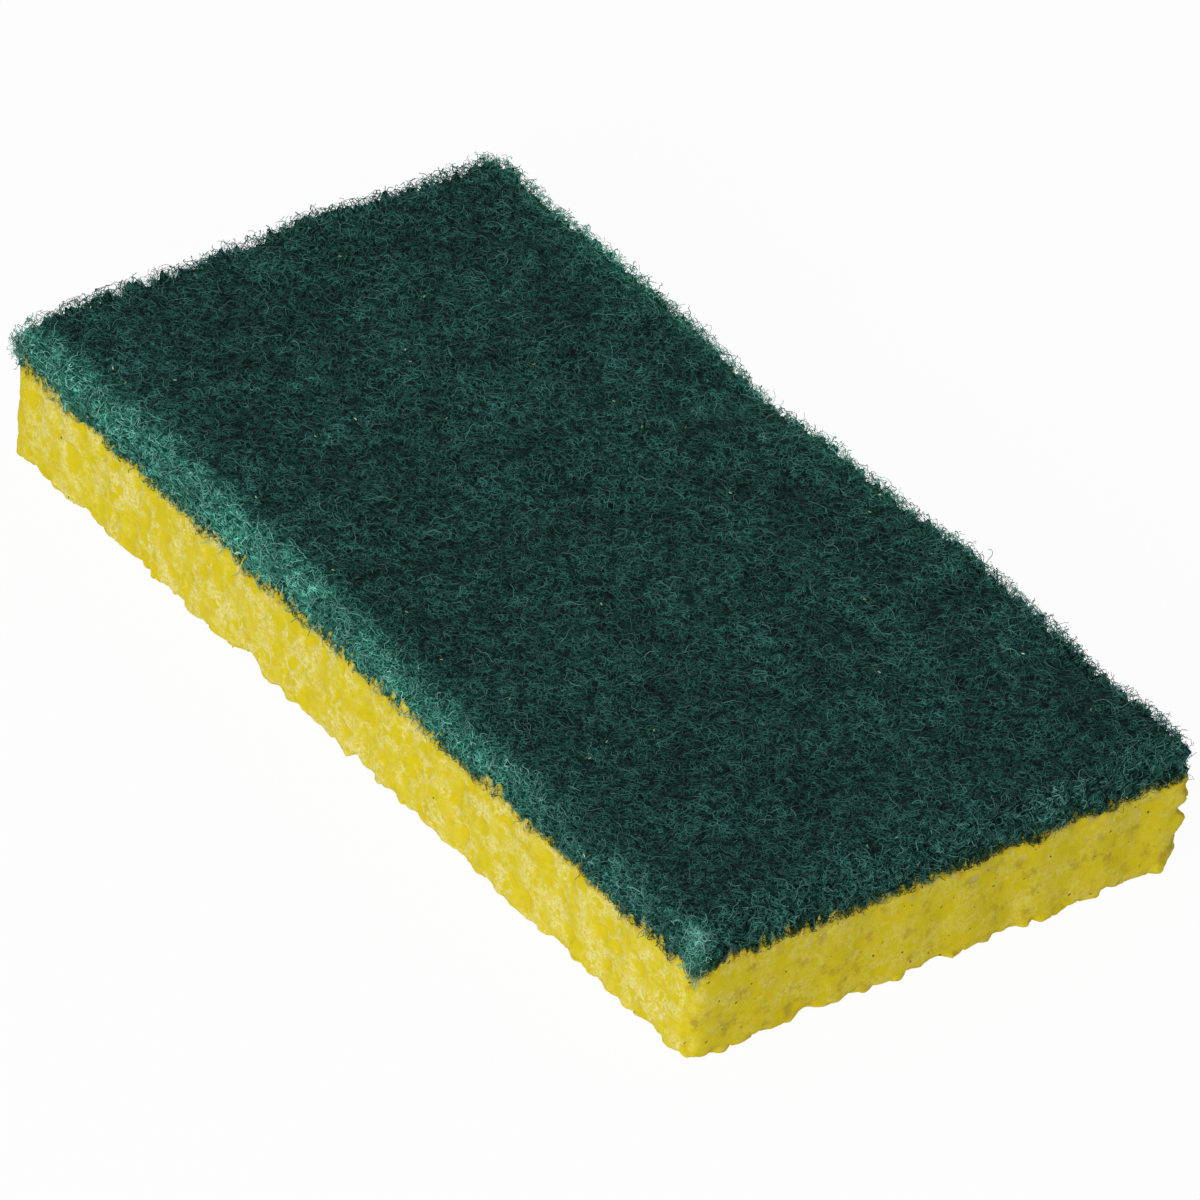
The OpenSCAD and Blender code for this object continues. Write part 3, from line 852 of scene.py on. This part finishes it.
def walked_off(tree, given, root, step_number):
    """How far a step lies from its root: the heading turns a little each time, and steps add up."""
    fibre = root["Fibre"]
    along = put(tree, MATH, step_number, NOISE_PER_STEP, **TIMES)
    own = put(tree, JOIN, along, put(tree, MATH, fibre, NOISE_PER_FIBRE, **TIMES), given["Seed"])
    waver = put(tree, SPLIT, put(tree, NOISE, own, 1.0, 0.0).outputs["Color"]).outputs
    swing = put(tree, MATH, put(tree, MATH, waver[0], 0.5, **MINUS), 5.0, **TIMES)
    swing = put(tree, MATH, swing, chance(tree, given, fibre, -0.4, 0.4, 1), **PLUS)
    turning = put(tree, MATH, swing, given["Crimp"], **TIMES)
    turned = put(tree, "GeometryNodeAccumulateField", {"Value": turning, "Group ID": fibre})
    first = chance(tree, given, fibre, 0.0, 2 * math.pi, 2)
    heading = put(tree, MATH, turned.outputs["Trailing"], first, **PLUS)
    east, north = [put(tree, MATH, heading, operation=word) for word in ("COSINE", "SINE")]
    lift = put(tree, MATH, put(tree, MATH, waver[1], 0.5, **MINUS), given["Lift"], **TIMES)
    stride = put(tree, "FunctionNodeRotateVector", put(tree, JOIN, east, north, lift), root["Turn"])
    stride = put(tree, VECTOR, stride, given["Step"], **SCALED)
    strides = {"Value": stride, "Group ID": fibre}
    walked = put(tree, "GeometryNodeAccumulateField", strides, **VECTORS).outputs["Trailing"]
    buried = put(tree, MATH, chance(tree, given, fibre, 0.0, -1.0, 3), given["Deepest"], **TIMES)
    sunk = put(tree, VECTOR, root["Facing"], buried, **SCALED)
    return put(tree, VECTOR, walked, sunk, **PLUS)


# %% Back to the skin and over the bond
CLUMP_SIZE, TUFT_SIZE = 2.2 * MM, 3.0 * MM


def eased(tree, far, room):
    """A distance held within its room: about as it was while small, and never past the room."""
    fall = put(tree, MATH, put(tree, MATH, far, -1.0, **TIMES), room, **OVER)
    fall = put(tree, MATH, fall, operation="EXPONENT")
    return put(tree, MATH, put(tree, MATH, 1.0, fall, **MINUS), room, **TIMES)


def drawn_back(tree, given, place, fibre):
    """The push that draws a fibre that leaves the skin back to a short fuzz."""
    near = put(tree, "GeometryNodeProximity", given["Geometry"], {"Sample Position": place})
    away = put(tree, VECTOR, place, near.outputs["Position"], **MINUS)
    normal = put(tree, "GeometryNodeInputNormal")
    skin_facing = put(
        tree, "GeometryNodeSampleNearestSurface",
        {"Mesh": given["Geometry"], "Value": normal, "Sample Position": place}, **VECTORS,
    )
    outside = put(tree, VECTOR, away, skin_facing, operation="DOT_PRODUCT")
    outside = put(tree, MATH, outside, 0.0, operation="GREATER_THAN")
    clump = mottle(tree, place, CLUMP_SIZE, 2.0, 0.5, 0.36, 0.64, 0.35, 1.5)
    fuzz = put(tree, MATH, given["Fuzz"], clump, **TIMES)
    fuzz = put(tree, MATH, fuzz, chance(tree, given, fibre, 0.15, 1.6, 4), **TIMES)
    far = near.outputs["Distance"]
    back_in = put(tree, MATH, eased(tree, far, fuzz), far, **MINUS)
    back_in = put(tree, MATH, back_in, outside, **TIMES)
    outward = put(tree, VECTOR, away, operation="NORMALIZE")
    return put(tree, VECTOR, outward, back_in, **SCALED)


def hung_over(tree, given, place, split, fibre):
    """A fibre that passes the bond hangs over the foam by a millimetre or two at most."""
    wave = bond_wave(tree, split)
    above = put(tree, MATH, split[2], given["Bond"], **MINUS)
    near_bond = put(tree, RANGE, above, *WAVY_UP, **SMOOTH)
    hung = put(tree, MATH, wave, near_bond, split[2], **TIMES_PLUS)
    lowest = put(tree, MATH, given["Bond"], wave, **PLUS)
    below = put(tree, MATH, put(tree, MATH, lowest, hung, **MINUS), 0.0, **MOST)
    tufts = mottle(tree, place, TUFT_SIZE, 2.0, 0.5, 0.38, 0.66, 0.5, 2.2)
    room = put(tree, MATH, chance(tree, given, fibre, 0.1, 1.0, 6), given["Hang"], **TIMES)
    room = put(tree, MATH, room, tufts, **TIMES)
    held = put(tree, MATH, hung, lowest, **MOST)
    height = put(tree, MATH, held, eased(tree, below, room), **MINUS)
    return put(tree, JOIN, split[0], split[1], height)


# %% Fibre tree
def fibre_tree():
    tree, given = geometry_tree("matted_fibres", {
        "Density": "Float", "Steps": "Int", "Step": "Float", "Crimp": "Float", "Lift": "Float",
        "Hang": "Float", "Deepest": "Float", "Fuzz": "Float", "Thickness": "Float",
        "Bond": "Float", "Seed": "Int", "Finish": "Material",
    })
    root = fibre_roots(tree, given)
    fibre = root["Fibre"]
    steps = put(
        tree, "GeometryNodeDuplicateElements",
        {"Geometry": root[0], "Amount": put(tree, MATH, given["Steps"], 1.0, **PLUS)},
        domain="POINT",
    )
    step_number = steps.outputs["Duplicate Index"]
    walked = walked_off(tree, given, root, step_number)
    walk = put(tree, MOVE, {"Geometry": steps.outputs[0], "Offset": walked})
    place = put(tree, "GeometryNodeInputPosition")
    walk = put(tree, MOVE, {"Geometry": walk, "Offset": drawn_back(tree, given, place, fibre)})
    split = put(tree, SPLIT, place).outputs
    walk = put(tree, MOVE, {"Geometry": walk, "Position": hung_over(tree, given, place, split, fibre)})
    # Marks for the paint: painted light on the cut sides, partly their paler fibre, and painted shade near
    # the bond.
    cut_and_lit, tone = lit_cut_share(tree, root["Facing"], place), chance(tree, given, fibre, 0.0, 1.0, 5)
    walk = put(tree, STORE, {"Geometry": walk, "Name": "cut_and_lit", "Value": cut_and_lit})
    walk = put(tree, STORE, {"Geometry": walk, "Name": "shade", "Value": bond_shade(tree, split)})
    walk = put(tree, STORE, {"Geometry": walk, "Name": "tone", "Value": tone})
    # A thin tube with three sides along each walk.
    order = {"Curve Group ID": fibre, "Weight": step_number}
    lines = put(tree, "GeometryNodePointsToCurves", walk, order)
    radius = put(tree, MATH, given["Thickness"], 0.5, **TIMES)
    section = put(tree, "GeometryNodeCurvePrimitiveCircle", {"Resolution": 3, "Radius": radius})
    tubes = put(
        tree, "GeometryNodeCurveToMesh",
        {"Curve": lines, "Profile Curve": section.outputs["Curve"], "Fill Caps": True},
    )
    tubes = put(tree, "GeometryNodeSetShadeSmooth", {"Geometry": tubes})
    whole = put(tree, "GeometryNodeRealizeInstances", tubes)
    painted = put(tree, "GeometryNodeSetMaterial", {"Geometry": whole, "Material": given["Finish"]})
    put(tree, "NodeGroupOutput", painted)
    return tree


# %% [markdown]
# ## Resin-bound fibre
# The fibres are nylon or polyester, coated by spraying on a dark green resin that holds
# abrasive grains. The coat is rough, with hardly any gloss. Their colour differs a little
# from fibre to fibre and from patch to patch. Lighter copies of the colours are painted light
# on the cut sides, partly for their paler cut fibre, and darker ones are painted shade at the bond.

# %% Fibre materials
FIBRE_DARK = "#1b4844"
FIBRE_LIGHT = "#649e94"
# Lighter copies for the cut sides, on the fibres and on the heart: painted light where the side lamp
# falls, partly the paler cut fibre.
LIT_CUT_DARK = "#237d66"
LIT_CUT_LIGHT = "#a9efde"
LIT_CUT_DEEP = "#0d3b30"
LIT_CUT_WEB = "#68c8b0"
# The heart's near-black is painted shade: deep in the mat hardly any light gets through.
HEART_DARK = "#040e0d"
HEART_LIGHT = "#43837a"
# Darker colours for the fringe at the bond, which are painted shade, and their lit copies for the cut
# sides.
BOND_DARK = "#10281a"
BOND_LIGHT = "#3f6c3c"
BOND_LIT_CUT_DARK = "#1c4c36"
BOND_LIT_CUT_LIGHT = "#5ca07a"
FLECK_DARK = "#a8be86"
FLECK_LIGHT = "#e4f6c8"
COAT_PATCH, COAT_WIDE_PATCH = 2.6 * MM, 8 * MM


def patchy(tree, place):
    """Lighter and darker patches of a few millimetres, the same on heart and fibres."""
    near = mottle(tree, place, COAT_PATCH, 2.0, 0.55, 0.32, 0.68, 0.75, 1.25)
    wide = mottle(tree, place, COAT_WIDE_PATCH, 1.0, 0.5, 0.3, 0.7, 0.8, 1.2)
    return put(tree, MATH, near, wide, **TIMES)


def paint_light_shade_and_patches(tree, place, coated, cut_and_lit):
    """The coated colour, lighter on the cut sides as painted light (partly their paler fibre), in patches,
    and in painted shade near the bond.
    """
    share = put(tree, "ShaderNodeAttribute", attribute_name="cut_and_lit").outputs["Fac"]
    shade = put(tree, "ShaderNodeAttribute", attribute_name="shade").outputs["Fac"]
    colour = put(tree, MIX, share, coated, cut_and_lit, **COLOURS)
    colour = put(tree, VECTOR, colour, patchy(tree, place), **SCALED)
    return put(tree, VECTOR, colour, shade, **SCALED)


def fibre_finish(name, dark, light, lit_cut_dark, lit_cut_light):
    material, tree = bare_material(name)
    place = put(tree, "ShaderNodeTexCoord").outputs["Object"]
    tone = put(tree, "ShaderNodeAttribute", attribute_name="tone").outputs["Fac"]
    tone = put(tree, MATH, tone, 1.4, operation="POWER")
    coated = put(tree, MIX, tone, linear(dark), linear(light), **COLOURS)
    cut_and_lit = put(tree, MIX, tone, linear(lit_cut_dark), linear(lit_cut_light), **COLOURS)
    colour = paint_light_shade_and_patches(tree, place, coated, cut_and_lit)
    shader = put(
        tree, "ShaderNodeBsdfPrincipled",
        {"Base Color": colour, "Roughness": 0.65, "Specular IOR Level": 0.15},
    )
    put(tree, "ShaderNodeOutputMaterial", {"Surface": shader})
    return material


def drawn_fibres(tree, flat, size, thickness, level):
    """Curly lines of an even width on a plane, 1 on a line and 0 beside it.

    They are the level lines of a smooth noise. Its slope, from two more samples close by,
    turns the difference from the level into a distance, so that no line swells to a patch.
    """
    step = size * 0.06
    samples = []
    for shift in ((0, 0, 0), (step, 0, 0), (0, step, 0)):
        shifted = put(tree, VECTOR, flat, shift, **PLUS)
        samples.append(put(tree, NOISE, shifted, 1 / size, 1.0, 0.45, noise_dimensions="2D"))
    rises = put(
        tree, JOIN, put(tree, MATH, samples[1], samples[0], **MINUS),
        put(tree, MATH, samples[2], samples[0], **MINUS), 0.0,
    )
    slope = put(tree, MATH, put(tree, VECTOR, rises, operation="LENGTH"), step, **OVER)
    off = put(tree, MATH, put(tree, MATH, samples[0], level, **MINUS), **SIZE_OF)
    far = put(tree, MATH, off, put(tree, MATH, slope, 0.3 / size, **MOST), **OVER)
    return put(tree, RANGE, far, thickness * 0.75, thickness * 0.25, **SMOOTH)


# Drawn layers: noise size in mm, level, strength.
DRAWN_LAYERS = [
    (1.3, 0.48, 1.0), (1.05, 0.53, 0.75), (1.55, 0.51, 0.6), (0.9, 0.46, 0.42), (1.15, 0.55, 0.3),
    (0.8, 0.5, 0.22),
]
DRAWN_THICKNESS = 0.1 * MM
# How far apart the layers are read, how the drawing slants on the cut sides, where it would
# turn to streaks if it went straight down, and the size of the stretches where fibres dive.
LAYER_SHIFT = (0.137, 0.071)
SIDE_SLANT = (0.7, 0.9, 0.0)
DIVE_SIZE = 1.3 * MM


def heart_finish():
    material, tree = bare_material("resin_bound_mat")
    place = put(tree, "ShaderNodeTexCoord").outputs["Object"]
    depth = put(tree, MATH, PAD_TOP, put(tree, SPLIT, place).outputs[2], **MINUS)
    outward = put(tree, VECTOR, put(tree, VECTOR, place, operation="SIGN"), SIDE_SLANT, **TIMES)
    flat = put(tree, VECTOR, place, put(tree, VECTOR, outward, depth, **SCALED), **PLUS)
    flat = put(tree, VECTOR, flat, (1.0, 1.0, 0.0), **TIMES)
    dives = put(tree, SPLIT, put(tree, NOISE, place, 1 / DIVE_SIZE, 2.0).outputs["Color"]).outputs
    lines = 0.0
    for number, (size, level, strength) in enumerate(DRAWN_LAYERS):
        shift = (number * LAYER_SHIFT[0], number * LAYER_SHIFT[1], 0.0)
        moved = put(tree, VECTOR, flat, shift, **PLUS)
        layer = drawn_fibres(tree, moved, size * MM, DRAWN_THICKNESS, level)
        # Deeper layers are fainter, and fade further where fibres dive into the mat: painted shade.
        seen = put(tree, RANGE, dives[number % 3], 0.38, 0.58, 0.15 * strength, strength, **SMOOTH)
        lines = put(tree, MATH, lines, put(tree, MATH, layer, seen, **TIMES), **MOST)
    coated = put(tree, MIX, lines, linear(HEART_DARK), linear(HEART_LIGHT), **COLOURS)
    cut_and_lit = put(tree, MIX, lines, linear(LIT_CUT_DEEP), linear(LIT_CUT_WEB), **COLOURS)
    colour = paint_light_shade_and_patches(tree, place, coated, cut_and_lit)
    bump = put(tree, "ShaderNodeBump", {"Height": lines, "Strength": 0.8, "Distance": BUMP_DEPTH})
    shader = put(
        tree, "ShaderNodeBsdfPrincipled",
        {"Base Color": colour, "Normal": bump, "Roughness": 0.85, "Specular IOR Level": 0.07},
    )
    put(tree, "ShaderNodeOutputMaterial", {"Surface": shader})
    return material


heart.data.materials.append(heart_finish())
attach(heart, "root")
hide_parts("scour_pad")
print("the heart wears", heart.data.materials[0].name)

# %% [markdown]
# ## Growing the cover
# The web's fibres lie flat on top, and the cut sides show their short ends and curls. So the
# same tree runs several times with other values: long lying fibres, curls at the rims, cut
# fibres, a dark fringe at the bond, a few tufts and a few bare flecks. Each run gives a mesh
# of its own, which keeps every mesh under 200,000 triangles. A first tree marks on the skin
# how thickly each stretch is to be set.

# %% Grow the fibres
# cover says how thickly each stretch of the skin is set: most on the cut sides and round the
# upper edge, less over the middle of the top, and nothing on the bonded face.
RIM_WIDTH = 3 * MM
FRINGE_UP, FRINGE_IN = (2.2 * MM, 0.3 * MM), (2 * MM, 1 * MM)
# A face whose normal's height is below this is on the bonded side.
UNDERSIDE = -0.6
# Tufts that stand out of the mat: x, y, z and reach in mm.
TUFTS = [
    (79.5, -41.0, 17.0, 2.2),
    (79.0, -40.5, 21.0, 1.6),
    (-79.5, -41.0, 18.0, 2.0),
    (-79.5, 41.0, 22.8, 2.2),
    (-16.0, -14.0, 22.8, 1.3),
]


def tuft_tree():
    tree, given = geometry_tree("tuft_cover", {})
    place = put(tree, "GeometryNodeInputPosition")
    level = put(tree, SPLIT, put(tree, "GeometryNodeInputNormal")).outputs[2]
    cover = 0.0
    for x, y, z, reach in TUFTS:
        far = put(tree, VECTOR, place, (x * MM, y * MM, z * MM), operation="DISTANCE")
        cover = put(tree, MATH, cover, put(tree, RANGE, far, reach * MM, 0.0, **SMOOTH), **PLUS)
    cover = put(tree, MATH, cover, put(tree, MATH, level, UNDERSIDE, operation="GREATER_THAN"), **TIMES)
    covered = {"Geometry": given["Geometry"], "Name": "cover", "Value": cover}
    put(tree, "NodeGroupOutput", put(tree, STORE, covered, domain="FACE"))
    return tree


def cover_tree():
    tree, given = geometry_tree("fibre_cover", {
        "Half Length": "Float", "Half Width": "Float", "Bond": "Float", "Top": "Float",
        "Rim": "Float", "Side": "Float", "Fringe": "Float", "Far": "Float",
    })
    split = put(tree, SPLIT, put(tree, "GeometryNodeInputPosition")).outputs
    level = put(tree, SPLIT, put(tree, "GeometryNodeInputNormal")).outputs[2]
    to_x, _, inland = to_edges(tree, given, split)
    to_far = to_far_sides(tree, given, split)
    far = put(tree, RANGE, to_far, RIM_WIDTH, RIM_WIDTH * 0.5, 1.0, given["Far"], **SMOOTH)
    thick = put(tree, MATH, given["Rim"], far, **TIMES)
    rim = put(tree, RANGE, inland, RIM_WIDTH * 0.5, RIM_WIDTH, thick, given["Top"], **SMOOTH)
    sides = put(tree, RANGE, level, 0.3, 0.75, given["Side"], 0.0, **SMOOTH)
    above = put(tree, MATH, split[2], given["Bond"], **MINUS)
    low = put(tree, RANGE, above, *FRINGE_UP, **SMOOTH)
    fringe = put(tree, MATH, low, put(tree, RANGE, level, 0.5, 0.2, **SMOOTH), **TIMES)
    ends = put(tree, RANGE, to_x, *FRINGE_IN, 1.0, 2.4, **SMOOTH)
    fringe = put(tree, MATH, put(tree, MATH, fringe, ends, **TIMES), given["Fringe"], **TIMES)
    sides = put(tree, MATH, sides, fringe, **MOST)
    cover = put(tree, MATH, rim, sides, **MOST)
    cover = put(tree, MATH, cover, put(tree, MATH, level, UNDERSIDE, operation="GREATER_THAN"), **TIMES)
    covered = {"Geometry": given["Geometry"], "Name": "cover", "Value": cover}
    put(tree, "NodeGroupOutput", put(tree, STORE, covered, domain="FACE"))
    return tree


FIBRES, COVER, TUFT_COVER = fibre_tree(), cover_tree(), tuft_tree()
GREEN = fibre_finish("resin_coated_fibre", FIBRE_DARK, FIBRE_LIGHT, LIT_CUT_DARK, LIT_CUT_LIGHT)
# The fringe at the bond wears darker colours: painted shade.
SHADED = fibre_finish("shaded_bond_fibre", BOND_DARK, BOND_LIGHT, BOND_LIT_CUT_DARK, BOND_LIT_CUT_LIGHT)
# The tufts take the lit cut sides' light colour: painted light.
TUFT = fibre_finish("lit_frayed_tuft", FIBRE_DARK, LIT_CUT_LIGHT, LIT_CUT_DARK, LIT_CUT_LIGHT)
CREAM = fibre_finish("bare_fleck", FLECK_DARK, FLECK_LIGHT, FLECK_DARK, FLECK_LIGHT)


def grow(name, cover, finer_by=1, **values):
    """One mesh of fibres over the pad, as a piece of its own."""
    skin = skin_copy("scour_pad", "pad_skin_work")
    tear(skin, PUFFS)
    finer = skin.modifiers.new("finer", "SUBSURF")
    finer.subdivision_type = "SIMPLE"
    finer.levels = finer.render_levels = finer_by
    if cover:
        box = {"Half Length": HALF_L, "Half Width": HALF_W, "Bond": BOND_Z}
        run_tree(skin, COVER, box | {"Far": 1.0} | cover)
    else:
        run_tree(skin, TUFT_COVER, {})
    skin = plain(skin, "pad_skin")
    given = {key.replace("_", " ").title(): value for key, value in values.items()}
    run_tree(skin, FIBRES, given | {"Bond": BOND_Z})
    grown = plain(skin, name)
    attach(grown, "root")
    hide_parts("scour_pad")
    return grown


HANG = 0.8 * MM

for number in range(2):
    grow(
        f"pad_long_fibres_{number + 1}", {"Top": 1.0, "Rim": 1.3, "Side": 1.1, "Fringe": 0.0},
        density=0.16 / MM ** 2, steps=8, step=0.42 * MM, crimp=0.7, lift=6.0, hang=HANG,
        deepest=0.4 * MM, fuzz=0.6 * MM, thickness=0.07 * MM, seed=11 + number, finish=GREEN,
    )
grow(
    "pad_rim_curls", {"Top": 0.0, "Rim": 1.0, "Side": 0.4, "Fringe": 0.0, "Far": 1.8},
    density=0.85 / MM ** 2, steps=6, step=0.3 * MM, crimp=2.0, lift=8.0, hang=HANG,
    deepest=0.8 * MM, fuzz=1.6 * MM, thickness=0.12 * MM, seed=21, finish=GREEN,
)
grow(
    "pad_cut_fibres", {"Top": 0.05, "Rim": 1.7, "Side": 1.4, "Fringe": 0.0},
    density=0.7 / MM ** 2, steps=5, step=0.38 * MM, crimp=1.1, lift=8.0, hang=HANG,
    deepest=0.9 * MM, fuzz=1.2 * MM, thickness=0.072 * MM, seed=31, finish=GREEN,
)
grow(
    "pad_fringe", {"Top": 0.0, "Rim": 0.0, "Side": 0.0, "Fringe": 1.0},
    density=4.4 / MM ** 2, steps=5, step=0.26 * MM, crimp=2.0, lift=6.0, hang=4.6 * MM,
    deepest=0.2 * MM, fuzz=0.4 * MM, thickness=0.1 * MM, seed=41, finish=SHADED,
)
grow(
    "pad_tufts", None, finer_by=3,
    density=60 / MM ** 2, steps=6, step=0.4 * MM, crimp=0.9, lift=9.0, hang=1.2 * MM,
    deepest=0.3 * MM, fuzz=1.9 * MM, thickness=0.075 * MM, seed=61, finish=TUFT,
)
grow(
    "pad_flecks", {"Top": 1.0, "Rim": 1.5, "Side": 1.5, "Fringe": 0.0},
    density=0.0025 / MM ** 2, steps=2, step=0.2 * MM, crimp=0.7, lift=2.0, hang=0.0001 * MM,
    deepest=0.0, fuzz=0.4 * MM, thickness=0.19 * MM, seed=51, finish=CREAM,
)
